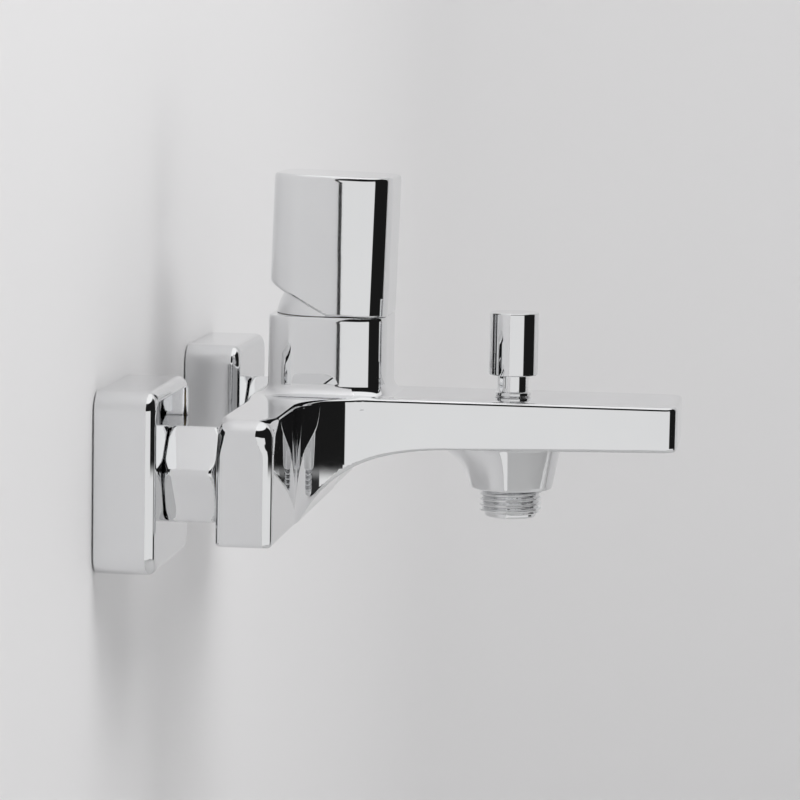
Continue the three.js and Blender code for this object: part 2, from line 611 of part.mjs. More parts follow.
function hoseNipple() {
  const [top, neck, throat, lip] = [-3.4, 7.9, 4.7, 8.7];
  const points = [
    [NIPPLE_BORE, -17.5], [NIPPLE_BORE, -5], [throat, -4.6], [throat, top], [neck, top],
    [neck, NIPPLE_SHOULDER],
  ];
  for (let i = 0; i < THREAD_TURNS; i += 1) {
    const z = NIPPLE_SHOULDER - i * THREAD_PITCH;
    points.push([THREAD_ROOT, z]);
    points.push([G12_RADIUS, z - THREAD_PITCH * 0.4], [G12_RADIUS, z - THREAD_PITCH * 0.6]);
  }
  const end = NIPPLE_SHOULDER - THREAD_TURNS * THREAD_PITCH;
  points.push([THREAD_ROOT, end], [lip, end], [lip, NIPPLE_END], [NIPPLE_BORE, NIPPLE_END]);
  return turnedZ(points, 0, DIVERTER_Y);
}

const checkHousing = () => turnedZ([
  [3.4, -18.6], [5.3, -18.6], [5.3, -8], [3.6, -8], [3.6, -9], [4.6, -9], [4.6, -17.6], [3.4, -17.6],
], 0, DIVERTER_Y, SMALL_ROUND);

const checkPoppet = () => turnedZ([
  [0, -16.4], [1, -16.4], [1, -10.8], [4.2, -10.8], [4.2, -9.4], [0, -9.4],
], 0, DIVERTER_Y, SMALL_ROUND);

place('diverter_knob', diverterKnob(), chrome);
place('diverter_tower', diverterTower(), chrome);
place('diverter_rod', diverterRod(), steel);
place('diverter_spring', coilSpring(3.3, 0.7, 17.7, 29.7, 5, 0, DIVERTER_Y), steel);
place('diverter_piston', diverterPiston(), brass);
place('piston_seal_upper', ringZ(2.6, 5.8, 2.3, 3.6, 0, DIVERTER_Y, SMALL_ROUND), rubber);
place('piston_seal_lower', ringZ(0, 5.8, -3.1, -1.2, 0, DIVERTER_Y, SMALL_ROUND), rubber);
place('diverter_sleeve', diverterSleeve(), whitePlastic);
place('hose_nipple', hoseNipple(), chrome);
place('check_valve_housing', checkHousing(), whitePlastic);
place('check_valve_poppet', checkPoppet(), bluePlastic);
place('check_valve_spring', coilSpring(2.4, 0.5, -17.3, -11.1, 4, 0, DIVERTER_Y), steel);

// ---------------------------------------------------------------- spout outlet
function aeratorInsert() {
  const [count, circle, holeRadius, radius, bottom] = [6, 5, 1.8, 8.4, 6.4];
  const hole = (x, y) => cylinder('z', holeRadius, bottom - 1, AERATOR_RING_TOP + 1, x, AERATOR_Y + y, 12);
  const holes = [hole(0, 0)];
  for (let i = 0; i < count; i += 1) {
    const angle = (i * Math.PI * 2) / count;
    holes.push(hole(circle * Math.cos(angle), circle * Math.sin(angle)));
  }
  return cut(cylinder('z', radius, bottom, AERATOR_RING_TOP, 0, AERATOR_Y), ...holes);
}

place('aerator_ring', turnedZ([
  [7.6, UNDERSIDE_AT_TIP], [AERATOR_RING_RADIUS, UNDERSIDE_AT_TIP],
  [AERATOR_RING_RADIUS, AERATOR_RING_TOP], [8.8, AERATOR_RING_TOP], [8.8, 6.1], [7.6, 6.1],
], 0, AERATOR_Y), chrome);
place('aerator_insert', aeratorInsert(), whitePlastic);
const washerTop = AERATOR_SEAT - 0.4;
place('aerator_washer',
  ringZ(7.5, AERATOR_RING_RADIUS, AERATOR_RING_TOP + GAP, washerTop, 0, AERATOR_Y), rubber);

export default faucet;
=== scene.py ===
import json
import math

import bpy
import numpy as np
from mathutils import Matrix, Vector


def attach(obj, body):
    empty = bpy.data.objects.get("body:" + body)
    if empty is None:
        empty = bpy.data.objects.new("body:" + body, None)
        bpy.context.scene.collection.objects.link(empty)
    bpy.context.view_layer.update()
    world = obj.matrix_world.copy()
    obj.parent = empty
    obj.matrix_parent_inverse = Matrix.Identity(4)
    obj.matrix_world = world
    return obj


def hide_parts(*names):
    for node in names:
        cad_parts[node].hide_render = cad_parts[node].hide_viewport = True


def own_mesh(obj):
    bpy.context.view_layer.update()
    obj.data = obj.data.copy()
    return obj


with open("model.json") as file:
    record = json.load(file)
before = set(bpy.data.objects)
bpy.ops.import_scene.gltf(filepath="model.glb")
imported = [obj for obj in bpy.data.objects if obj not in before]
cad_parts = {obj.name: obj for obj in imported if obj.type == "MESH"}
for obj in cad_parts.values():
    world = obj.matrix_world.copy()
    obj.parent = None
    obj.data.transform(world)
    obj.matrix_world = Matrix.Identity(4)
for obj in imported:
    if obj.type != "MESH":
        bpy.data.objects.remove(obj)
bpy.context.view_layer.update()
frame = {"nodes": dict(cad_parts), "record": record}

# ------------------------------------------------------------------ dimensions, in millimetres
# The origin is on the wall, midway between the inlets. X runs along the wall, Y into it and Z up.
MM = 0.001
FINE_EDGE = 0.3
PLAIN_EDGE = 0.4
SOFT_EDGE = 0.8
PAST = 1  # how far a cut runs past the face that it opens

# wall side
INLET_X = 75
PLATE_HALF = 29
PLATE_CORNER = 6.5
PLATE_DEPTH = 19.5
PLATE_EDGE = 3.3
PLATE_WALL = 2
PLATE_INNER_EDGE = 1.5
PLATE_HOLE_GAP = 0.6
NUT_ACROSS_FLATS = 30.4
NUT_CORNER = 2.6
NUT_TWIST = math.radians(10)
NUT_GAP = 0.3
NUT_THREAD_END = -31.5
NUT_POINT_CUT = 0.8
NUT_CHAMFER = 1
WALL_DROP = 7
WALL_THREAD = (-5, 22)
FLANGE = (-5, -0.5)
FLANGE_RADIUS = 17
FRONT_THREAD = (-27, -4)
CONNECTOR_FILLET = 0.5
WALL_BORE_RADIUS = 6.5
WALL_BORE = (-12, 24)
FRONT_BORE_RADIUS = 8
FRONT_BORE = (-29, -6)
G34_RADIUS = 13.2
G12_RADIUS = 10.48
THREAD_PITCH = 1.814
THREAD_DEPTH = 1.3
THREAD_ROOT_SOFTNESS = 0.02
THREAD_STEEPNESS = 0.6

# body
BAR_HALF = 94
BAR_BACK = -36.5
BAR_FRONT = -54.8
BAR_CORNER = 3
BAR_TOP_CORNER = 5.5
TOP_CORNER_BLEND = (8, 16)
BODY_TOP = 20
BODY_BOTTOM = -20
TOP_EDGE = 0.9
BOTTOM_EDGE = 1.2
END_EDGE = 5.5
END_EDGE_BLEND = (80, 91)
SIDE_FILLET = 26
SPOUT_HALF = 21.5
SPOUT_INTO_BAR = 3
SPOUT_TIP = -177.5
TIP_CORNER = 4.5
UNDERSIDE = [(-54.8, -20), (-61.2, -4.2), (-76.6, 3.1), (-104, 3.5)]
UNDERSIDE_AT_TIP = 5

# water passages in the body
NIPPLE_SOCKET_RADIUS = 10.7
NIPPLE_SOCKET_END = -44.9
INLET_RADIUS = 7
INLET_BORE = (-51, -44)
CROSS_RADIUS = 6
CROSS_START = 4
CROSS_Y = -46.5
PORT_RADIUS = 4
INLET_PORT_X = 8
INLET_PORT_Y = -53.5
MIXED_PORT_Y = -67.5
MIXED_PORT_START = 8.5
MIXED_Z = 10.5
SPOUT_CHANNEL_Z = 13.2
OUTLET_DEPTH = 14
PASSAGE_EDGE = 0.35

# neck, cartridge and handle
NECK_Y = -59.4
NECK_HALF = 20
NECK_CORNER = 10
NECK_TOP = 46.5
NECK_SINK = 0.4
NECK_FILLET = 4
EDGE_FALL = 0.08
EDGE_FALL_DEPTH = 2
CAVITY_RADIUS = 17.7
CAVITY_FLOOR = 15
THREAD_RADIUS = 18.6
THREAD_START = 40
PIVOT_Z = 43.5
DOME_RADIUS = 19.1
DOME_RIM = 18.8
DOME_TOP = 57
DOME_BORE = 15.6
DOME_SHOULDER = 52
DOME_HOLE = 12
DOME_LIP = 1.5
DOME_STEPS = 12
HANDLE_BOTTOM = 47.1
HANDLE_TOP = 93.6
HANDLE_HALF = 20
HANDLE_CORNER = 10
HANDLE_BEVEL = math.radians(27)
BEVEL_EDGE = 0.7
HANDLE_GAP = 0.3
POCKET = (57, 86)
POCKET_INNER = 8
POCKET_OUTER = 15.5
LEVER_SOCKET = (55, 76)
LEVER_SOCKET_HALF = 4.5
LEVER_SOCKET_CORNER = 0.5
CLOSED_LEAN = math.radians(1.6)
SCREW_Z = 69
SCREW_RADIUS = 2.8
SCREW_LENGTH = 12
PLUG_HOLE_RADIUS = 4
PLUG_HOLE_END = 25
PLUG_RADIUS = 3.6
PLUG_BACK = 17
PLUG_FACE = 19.9

# diverter and outlets
DIVERTER_Y = -121.2
BOSS_BOTTOM = -11.2
BOSS_TOP = 4.5
BOSS_BOTTOM_RADIUS = 13.9
BOSS_TOP_RADIUS = 16.9
BOSS_STRETCH = 1.3
BOSS_SWEEP = 0.75
BOSS_EDGE = 0.9
BOSS_END = 12
BOSS_FILLET = 1.0
CHAMBER_RADIUS = 8.2
CHAMBER_TOP = 17.2
KNOB_RADIUS = 8.3
KNOB_BOTTOM = 27.3
KNOB_TOP = 48.4
KNOB_BORE = 6
KNOB_BORE_TOP = 39
KNOB_ROD_RADIUS = 2.6
KNOB_ROD_TOP = 45.5
TOWER_RADIUS = 5.2
TOWER_BOTTOM = 15.2
TOWER_TOP = 38
TOWER_BORE = 4.2
TOWER_BORE_TOP = 30
TOWER_GUIDE = 2.7
COLLAR_RADIUS = 6
COLLAR_BOTTOM = 20.3
COLLAR_TOP = 21.6
TOWER_HOLE_GAP = 0.3
NIPPLE_END = -20.7
NIPPLE_THREAD = (-19.2, -11.5)
NIPPLE_LIP_RADIUS = 8.7
NIPPLE_LIP_TOP = -12
NIPPLE_NECK = (-12.6, -3.4)
NIPPLE_NECK_RADIUS = 7.9
VALVE_RADIUS = 5.6
VALVE_SEAT = (-22, -4.8)
NIPPLE_BORE = 4.7
AERATOR_Y = -162
AERATOR_HOLE_RADIUS = 11.2
AERATOR_RADIUS = 10.8
AERATOR_TOP = 11.4
AERATOR_BORE = 8.8
AERATOR_LIP = 7.6
AERATOR_LIP_DEPTH = 1.1

PIVOT = Vector((0, NECK_Y, PIVOT_Z))


# ------------------------------------------------------------------ fields
# A field is negative inside a shape, zero on its surface and positive outside.
def rounded(a, b, radius):
    """What lies inside both fields, its edge rounded."""
    past = np.hypot(np.maximum(a + radius, 0), np.maximum(b + radius, 0))
    return np.minimum(np.maximum(a, b), -radius) + past


def filleted(a, b, radius):
    """What lies inside either field, with a fillet where they meet."""
    return -rounded(-a, -b, radius)


def without(a, b, radius):
    """What lies inside a and outside b, its edge rounded."""
    return rounded(a, -b, radius)


def rectangle(u, v, half_u, half_v, corner):
    a = np.abs(u) - half_u + corner
    b = np.abs(v) - half_v + corner
    return np.hypot(np.maximum(a, 0), np.maximum(b, 0)) + np.minimum(np.maximum(a, b), 0) - corner


def slab(w, low, high):
    return np.abs(w - (low + high) / 2) - (high - low) / 2


def rod(u, v, w, radius, low, high):
    """A cylinder along w."""
    return np.maximum(np.hypot(u, v) - radius, slab(w, low, high))


def smooth(value, start, end):
    """0 before start, 1 after end, and a soft step between them."""
    t = np.clip((value - start) / (end - start), 0, 1)
    return t * t * (3 - 2 * t)


def falling_away(z, top):
    """How far polished sides fall away just below a top edge."""
    return EDGE_FALL * np.maximum(z - top + EDGE_FALL_DEPTH, 0) ** 2


def thread(x, y, z, crest):
    """A cylinder along z with a helical thread cut into it."""
    turn = z / THREAD_PITCH - np.arctan2(y, x) / (2 * math.pi)
    wave = np.sqrt(THREAD_ROOT_SOFTNESS + np.sin(math.pi * turn) ** 2)
    return (np.hypot(x, y) - crest + THREAD_DEPTH * (1 - wave)) * THREAD_STEEPNESS


# ------------------------------------------------------------------ meshes
def grid_lines(low, high, fine, coarse, places, reach=2.5):
    """Coordinates from low to high, close together near the places and further apart elsewhere."""
    lines = [low]
    while lines[-1] < high:
        away = min(abs(lines[-1] - place) for place in places)
        lines.append(lines[-1] + fine + (coarse - fine) * float(smooth(away, reach, reach + 4 * coarse)))
    return np.array(lines)


def gradient(field, points):
    """How steeply the field rises along X, Y and Z at each point."""
    step = 0.01
    result = np.empty_like(points)
    for axis in range(3):
        ahead, behind = points.copy(), points.copy()
        ahead[:, axis] += step
        behind[:, axis] -= step
        result[:, axis] = (field(*ahead.T) - field(*behind.T)) / (2 * step)
    return result


def surface(field, xs, ys, zs):
    """Vertices, quads and normals of the surface where the field is zero, one vertex to a grid cell."""
    value = field(xs[:, None, None], ys[None, :, None], zs[None, None, :])
    value = np.broadcast_to(value, (len(xs), len(ys), len(zs)))
    lines = (xs, ys, zs)
    total = np.zeros((len(xs) - 1, len(ys) - 1, len(zs) - 1, 3))
    count = np.zeros(total.shape[:3])
    crossings = []
    for axis in range(3):
        order = [axis, (axis + 1) % 3, (axis + 2) % 3]
        turned_value = value.transpose(order)
        low, high = turned_value[:-1], turned_value[1:]
        i, j, k = np.nonzero((low < 0) != (high < 0))
        share = low[i, j, k] / (low[i, j, k] - high[i, j, k])
        along, across, up = (lines[a] for a in order)
        place = np.empty((len(i), 3))
        place[:, order[0]] = along[i] + (along[i + 1] - along[i]) * share
        place[:, order[1]] = across[j]
        place[:, order[2]] = up[k]
        turned_total, turned_count = total.transpose(*order, 3), count.transpose(order)
        for dj in (0, 1):
            for dk in (0, 1):
                kept = (j >= dj) & (k >= dk) & (j - dj < len(across) - 1) & (k - dk < len(up) - 1)
                cell = (i[kept], j[kept] - dj, k[kept] - dk)
                np.add.at(turned_total, cell, place[kept])
                np.add.at(turned_count, cell, 1)
        crossings.append((order, i, j, k, low[i, j, k] < 0))
    number = np.full(count.shape, -1)
    used = count > 0
    number[used] = np.arange(used.sum())
    points = total[used] / count[used][:, None]
    quads = []
    for order, i, j, k, outward in crossings:
        turned_number = number.transpose(order)
        quad = np.stack([turned_number[i, j - 1, k - 1], turned_number[i, j, k - 1],
                         turned_number[i, j, k], turned_number[i, j - 1, k]], 1)
        quads.append(np.where(outward[:, None], quad, quad[:, ::-1]))
    points = settled(field, points)
    normals = gradient(field, points)
    normals /= np.linalg.norm(normals, axis=1)[:, None]
    return points, np.concatenate(quads), normals


def settled(field, points):
    """The points moved onto the surface in a few short steps."""
    longest, rounds, least_slope = 0.4, 5, 0.05
    for _ in range(rounds):
        slope = gradient(field, points)
        steps = slope * (field(*points.T) / np.maximum((slope ** 2).sum(1), least_slope))[:, None]
        length = np.linalg.norm(steps, axis=1)[:, None]
        points = points - steps * np.minimum(1, longest / np.maximum(length, longest))
    return points


def piece(name, parts, slot, body, nodes):
    """A piece of the model: a smooth mesh that rides on a body and stands for CAD nodes."""
    points, faces, normals = parts
    mesh = bpy.data.meshes.new(name)
    mesh.from_pydata((points * MM).tolist(), [], faces if isinstance(faces, list) else faces.tolist())
    mesh.shade_smooth()
    mesh.normals_split_custom_set_from_vertices(normals.tolist())
    mesh.materials.append(materials[slot])
    made = bpy.data.objects.new(name, mesh)
    bpy.context.scene.collection.objects.link(made)
    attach(made, body)
    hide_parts(*nodes)
    return made


def moved(parts, offset):
    points, faces, normals = parts
    return points + np.array(offset, float), faces, normals


def leaned(parts):
    """Turned about the pivot from upright to how the shut handle leans."""
    points, faces, normals = parts
    turn = np.array(Matrix.Rotation(CLOSED_LEAN, 3, "X"))
    centre = np.array(PIVOT)
    return (points - centre) @ turn.T + centre, faces, normals @ turn.T


def softened(outline):
    """The [radius, height, rounding] corners of a closed outline as points with normals."""
    largest_step = 0.26
    profile = []
    for n, (radius, height, rounding) in enumerate(outline):
        here = Vector((radius, height))
        before = Vector(outline[n - 1][:2])
        after = Vector(outline[(n + 1) % len(outline)][:2])
        if radius < 1e-6:
            side = after - here if before.x < 1e-6 else here - before
            profile.append((here, Vector((side.y, -side.x)).normalized()))
            continue
        back, ahead = (before - here).normalized(), (after - here).normalized()
        turn = math.pi - back.angle(ahead)
        reach = rounding * math.tan(turn / 2)
        bends_out = back.x * ahead.y - back.y * ahead.x < 0
        first = Vector((-back.y, back.x))
        centre = here + back * reach - first * rounding * (1 if bends_out else -1)
        steps = max(2, math.ceil(turn / largest_step))
        start = math.atan2(first.y, first.x)
        for step in range(steps + 1):
            angle = start + turn * step / steps * (1 if bends_out else -1)
            normal = Vector((math.cos(angle), math.sin(angle)))
            profile.append((centre + normal * rounding * (1 if bends_out else -1), normal))
    return profile


def turned(outline, axis="Z", segments=96):
    """A solid turned about its axis. The outline runs anticlockwise with the radius to the right."""
    profile = softened(outline)
    points, normals, rings = [], [], []
    for place, normal in profile:
        steps = 1 if place.x < 1e-6 else segments
        rings.append([len(points) + s for s in range(steps)])
        for s in range(steps):
            a = 2 * math.pi * s / segments
            points.append((place.x * math.cos(a), place.x * math.sin(a), place.y))
            normals.append((normal.x * math.cos(a), normal.x * math.sin(a), normal.y))
    faces = []
    for n, ring in enumerate(rings):
        after = rings[(n + 1) % len(rings)]
        if len(ring) == 1 and len(after) == 1:
            continue
        for s in range(segments):
            t = (s + 1) % segments
            corners = [ring[s % len(ring)], ring[t % len(ring)],
                       after[t % len(after)], after[s % len(after)]]
            faces.append(list(dict.fromkeys(corners)))
    points, normals = np.array(points), np.array(normals)
    if axis == "Y":
        points = points[:, [1, 2, 0]]
        normals = normals[:, [1, 2, 0]]
    return points, faces, normals


# ------------------------------------------------------------------ materials
materials = {}


def new_material(name):
    material = bpy.data.materials.new(name)
    material.use_nodes = True
    materials[name] = material
    return material.node_tree, material.node_tree.nodes["Principled BSDF"]


def noise(tree, scale, detail=2.0):
    place = tree.nodes.new("ShaderNodeTexCoord")
    made = tree.nodes.new("ShaderNodeTexNoise")
    made.inputs["Scale"].default_value = scale
    made.inputs["Detail"].default_value = detail
    tree.links.new(place.outputs["Object"], made.inputs["Vector"])
    return made.outputs["Fac"]


def set_roughness(tree, shader, value, low, high):
    """The roughness goes from low to high with the value."""
    made = tree.nodes.new("ShaderNodeMapRange")
    made.inputs["To Min"].default_value = low
    made.inputs["To Max"].default_value = high
    tree.links.new(value, made.inputs["Value"])
    tree.links.new(made.outputs["Result"], shader.inputs["Roughness"])


def bump(tree, shader, height, distance, strength):
    made = tree.nodes.new("ShaderNodeBump")
    made.inputs["Distance"].default_value = distance
    made.inputs["Strength"].default_value = strength
    tree.links.new(height, made.inputs["Height"])
    tree.links.new(made.outputs["Normal"], shader.inputs["Normal"])


def two_tone(tree, shader, value, dark, light):
    made = tree.nodes.new("ShaderNodeValToRGB")
    made.color_ramp.elements[0].color = (*dark, 1)
    made.color_ramp.elements[1].color = (*light, 1)
    tree.links.new(value, made.inputs["Fac"])
    tree.links.new(made.outputs["Color"], shader.inputs["Base Color"])


def chrome_plate():
    """Mirror bright, with a faint waviness from polishing."""
    tree, shader = new_material("chrome_plate")
    shader.inputs["Metallic"].default_value = 1
    two_tone(tree, shader, noise(tree, scale=60), dark=(0.77, 0.775, 0.785), light=(0.80, 0.805, 0.81))
    set_roughness(tree, shader, noise(tree, scale=900, detail=4), low=0, high=0.03)
    bump(tree, shader, noise(tree, scale=70, detail=1), distance=0.00001, strength=0.35)


def metal(slot, dark, light, roughness, grain):
    """Machined or drawn metal with a fine grain."""
    tree, shader = new_material(slot)
    shader.inputs["Metallic"].default_value = 1
    two_tone(tree, shader, noise(tree, grain / 6), dark, light)
    set_roughness(tree, shader, noise(tree, grain, detail=4), *roughness)
    bump(tree, shader, noise(tree, grain, detail=3), distance=0.00004, strength=0.5)


def moulded(slot, dark, light, roughness, grain, depth):
    """Plastic, rubber or ceramic with a fine moulded grain."""
    tree, shader = new_material(slot)
    two_tone(tree, shader, noise(tree, grain / 8), dark, light)
    set_roughness(tree, shader, noise(tree, grain, detail=3), *roughness)
    bump(tree, shader, noise(tree, grain, detail=3), distance=depth, strength=0.4)


chrome_plate()
metal("brass", (0.55, 0.40, 0.18), (0.72, 0.55, 0.29), roughness=(0.22, 0.38), grain=2600)
metal("stainless_steel", (0.52, 0.53, 0.54), (0.66, 0.67, 0.68), roughness=(0.2, 0.34), grain=3200)
moulded("black_rubber", (0.012, 0.012, 0.013), (0.03, 0.03, 0.032),
        roughness=(0.6, 0.85), grain=1800, depth=0.00005)
moulded("alumina_ceramic", (0.84, 0.82, 0.78), (0.92, 0.90, 0.87),
        roughness=(0.16, 0.3), grain=900, depth=0.00001)
for slot, dark, light in (
        ("white_plastic", (0.76, 0.76, 0.73), (0.84, 0.84, 0.81)),
        ("grey_plastic", (0.15, 0.17, 0.19), (0.22, 0.24, 0.26)),
        ("blue_plastic", (0.05, 0.14, 0.33), (0.08, 0.19, 0.42))):
    moulded(slot, dark, light, roughness=(0.4, 0.55), grain=1200, depth=0.00003)
for row in frame["record"]["subparts"]:
    node = frame["nodes"][row["node"]]
    node.data.materials.clear()
    node.data.materials.append(materials[row["material_slot"]])


# ------------------------------------------------------------------ body
def cubic(t, p0, p1, p2, p3):
    """A cubic curve's coordinate at t, and a third of its rate of change."""
    s = 1 - t
    place = s ** 3 * p0 + 3 * s * s * t * p1 + 3 * s * t * t * p2 + t ** 3 * p3
    return place, s * s * (p1 - p0) + 2 * s * t * (p2 - p1) + t * t * (p3 - p2)


def underside_height(y):
    """Height of the underside at y and how steeply it changes: a cubic curve, then a straight line."""
    ys, zs = zip(*UNDERSIDE)
    inside = np.clip(y, ys[-1], ys[0])
    t = (ys[0] - inside) / (ys[0] - ys[-1])
    rounds = 8
    for _ in range(rounds):
        at, rate = cubic(t, *ys)
        t = np.clip(t - (at - inside) / (3 * rate), 0, 1)
    height, rise = cubic(t, *zs)
    run = cubic(t, *ys)[1]
    tip_slope = (UNDERSIDE_AT_TIP - zs[-1]) / (SPOUT_TIP - ys[-1])
    slope = np.where(y < ys[-1], tip_slope, rise / run)
    return height + slope * (y - inside), slope


def body_shell(x, y, z):
    """The crossbar and the spout, with concave fillets between them."""
    corner = BAR_CORNER + (BAR_TOP_CORNER - BAR_CORNER) * smooth(z, *TOP_CORNER_BLEND)
    bar_middle, bar_half = (BAR_BACK + BAR_FRONT) / 2, (BAR_BACK - BAR_FRONT) / 2
    bar = rectangle(x, y - bar_middle, BAR_HALF, bar_half, corner)
    rear = BAR_FRONT + SPOUT_INTO_BAR
    spout = rectangle(x, y - (rear + SPOUT_TIP) / 2, SPOUT_HALF, (rear - SPOUT_TIP) / 2, TIP_CORNER)
    plan = filleted(bar, spout, SIDE_FILLET) + falling_away(z, BODY_TOP)
    edge = TOP_EDGE + (END_EDGE - TOP_EDGE) * smooth(np.abs(x), *END_EDGE_BLEND)
    height, slope = underside_height(y)
    below = (height - z) / np.sqrt(1 + slope ** 2)
    below = rounded(below, BODY_BOTTOM - z, BOTTOM_EDGE)
    return rounded(rounded(plan, z - BODY_TOP, edge), below, BOTTOM_EDGE)


def neck(x, y, z):
    sides = rectangle(x, y - NECK_Y, NECK_HALF, NECK_HALF, NECK_CORNER) + falling_away(z, NECK_TOP)
    block = rounded(sides, z - NECK_TOP, FINE_EDGE)
    return np.maximum(block, BODY_TOP - NECK_SINK - z)


def boss(x, y, z):
    """A cone under the spout that sweeps back into the underside towards the wall."""
    t = np.clip((z - BOSS_BOTTOM) / (BOSS_TOP - BOSS_BOTTOM), 0, BOSS_STRETCH)
    radius = BOSS_BOTTOM_RADIUS + (BOSS_TOP_RADIUS - BOSS_BOTTOM_RADIUS) * t
    y = y - DIVERTER_Y
    y = np.where(y > 0, y / (1 + BOSS_SWEEP * t ** 3), y)
    cone = rounded(np.hypot(x, y) - radius, BOSS_BOTTOM - z, BOSS_EDGE)
    return np.maximum(cone, z - BOSS_END)


def any_of(*fields):
    """What lies inside any of the fields."""
    return np.minimum.reduce(np.broadcast_arrays(*fields))


def inlet_passages(x, y, z):
    """From the union nuts along the crossbar to the cartridge."""
    x = np.abs(x)
    return any_of(
        rod(x - INLET_X, z, y, NIPPLE_SOCKET_RADIUS, NIPPLE_SOCKET_END, BAR_BACK + PAST),
        rod(x - INLET_X, z, y, INLET_RADIUS, *INLET_BORE),
        rod(y - CROSS_Y, z, x, CROSS_RADIUS, CROSS_START, INLET_X),
        rod(x - INLET_PORT_X, y - INLET_PORT_Y, z, PORT_RADIUS, 0, CAVITY_FLOOR + PAST))


def outlet_passages(x, y, z):
    """From the cartridge to the diverter, the hose outlet and the spout's outlet."""
    return any_of(
        rod(x, y - MIXED_PORT_Y, z, PORT_RADIUS, MIXED_PORT_START, CAVITY_FLOOR + PAST),
        rod(x, z - MIXED_Z, y, PORT_RADIUS, DIVERTER_Y, MIXED_PORT_Y),
        rod(x, y - DIVERTER_Y, z, CHAMBER_RADIUS, BOSS_BOTTOM - PAST, CHAMBER_TOP),
        rod(x, y - DIVERTER_Y, z, TOWER_RADIUS + TOWER_HOLE_GAP, CHAMBER_TOP - PAST, BODY_TOP + 2 * PAST),
        rod(x, z - SPOUT_CHANNEL_Z, y, PORT_RADIUS, AERATOR_Y, DIVERTER_Y),
        rod(x, y - AERATOR_Y, z, AERATOR_HOLE_RADIUS, 0, OUTLET_DEPTH))


def cartridge_seat(x, y, z):
    return np.minimum(
        rod(x, y - NECK_Y, z, CAVITY_RADIUS, CAVITY_FLOOR, NECK_TOP + 2 * PAST),
        rod(x, y - NECK_Y, z, THREAD_RADIUS, THREAD_START, NECK_TOP + 2 * PAST))


def body_field(x, y, z):
    outside = filleted(body_shell(x, y, z), neck(x, y, z), NECK_FILLET)
    outside = filleted(outside, boss(x, y, z), BOSS_FILLET)
    inside = any_of(cartridge_seat(x, y, z), inlet_passages(x, y, z), outlet_passages(x, y, z))
    return without(outside, inside, PASSAGE_EDGE)


def body_surface():
    coarse = 1.3
    fine = 0.4
    margin = 2
    xs = grid_lines(-BAR_HALF - margin, BAR_HALF + margin, fine, coarse,
                    (-BAR_HALF, BAR_HALF, -SPOUT_HALF, SPOUT_HALF))
    ys = grid_lines(SPOUT_TIP - margin, BAR_BACK + margin, fine, coarse,
                    (SPOUT_TIP, BAR_FRONT, BAR_BACK, NECK_Y - NECK_HALF, NECK_Y + NECK_HALF))
    zs = grid_lines(BODY_BOTTOM - margin, NECK_TOP + margin, fine, coarse,
                    (BODY_TOP, BODY_BOTTOM, NECK_TOP, UNDERSIDE_AT_TIP, BOSS_BOTTOM))
    return surface(body_field, xs, ys, zs)


piece("body_casting", body_surface(), "chrome_plate", "faucet", ["body"])


# ------------------------------------------------------------------ wall side
def even(low, high, step):
    return np.arange(low, high + step, step)


def escutcheon_field(x, y, z):
    block = rounded(rectangle(x, z, PLATE_HALF, PLATE_HALF, PLATE_CORNER), -PLATE_DEPTH - y, PLATE_EDGE)
    block = rounded(block, y, FINE_EDGE)
    half = PLATE_HALF - PLATE_WALL
    hollow = rounded(rectangle(x, z, half, half, PLATE_CORNER - PLATE_WALL),
                     PLATE_WALL - PLATE_DEPTH - y, PLATE_INNER_EDGE)
    hole = np.hypot(x, z) - G34_RADIUS - PLATE_HOLE_GAP
    return without(without(block, hollow, PLAIN_EDGE), hole, PLAIN_EDGE)


def hexagon(u, v, half_flats, corner):
    """A hexagon with rounded corners."""
    u, v = np.abs(u), np.abs(v)
    reach = half_flats - corner
    over = np.minimum(-math.sqrt(0.75) * u + 0.5 * v, 0) * 2
    u, v = u + over * math.sqrt(0.75), v - over * 0.5
    edge = reach / math.sqrt(3)
    return np.hypot(u - np.clip(u, -edge, edge), v - reach) * np.sign(v - reach) - corner


def union_nut_field(x, y, z):
    front, back = BAR_BACK + NUT_GAP, -PLATE_DEPTH - NUT_GAP
    u = x * math.cos(NUT_TWIST) - z * math.sin(NUT_TWIST)
    v = x * math.sin(NUT_TWIST) + z * math.cos(NUT_TWIST)
    ends = slab(y, front, back)
    prism = rounded(hexagon(u, v, NUT_ACROSS_FLATS / 2, NUT_CORNER), ends, PLAIN_EDGE)
    radius = NUT_ACROSS_FLATS / math.sqrt(3) - NUT_POINT_CUT
    chamfer = (np.hypot(x, z) - radius + (ends + NUT_CHAMFER)) * math.sqrt(0.5)
    bore = np.minimum(rod(x, z, y, G34_RADIUS + NUT_GAP, NUT_THREAD_END, back + PAST),
                      np.hypot(x, z) - NIPPLE_SOCKET_RADIUS)
    return without(rounded(prism, chamfer, PLAIN_EDGE), bore, FINE_EDGE)


def connector_field(x, y, z):
    """S-shaped connector: its wall thread is lower than its front thread."""
    wall = rounded(thread(x, z + WALL_DROP, y, G12_RADIUS), slab(y, *WALL_THREAD), SOFT_EDGE)
    flange = rounded(np.hypot(x, z + WALL_DROP / 2) - FLANGE_RADIUS, slab(y, *FLANGE), SOFT_EDGE)
    front = rounded(thread(x, z, y, G34_RADIUS), slab(y, *FRONT_THREAD), SOFT_EDGE)
    solid = filleted(filleted(wall, flange, CONNECTOR_FILLET), front, CONNECTOR_FILLET)
    bore = np.minimum(rod(x, z + WALL_DROP, y, WALL_BORE_RADIUS, *WALL_BORE),
                      rod(x, z, y, FRONT_BORE_RADIUS, *FRONT_BORE))
    return without(solid, bore, PLAIN_EDGE)


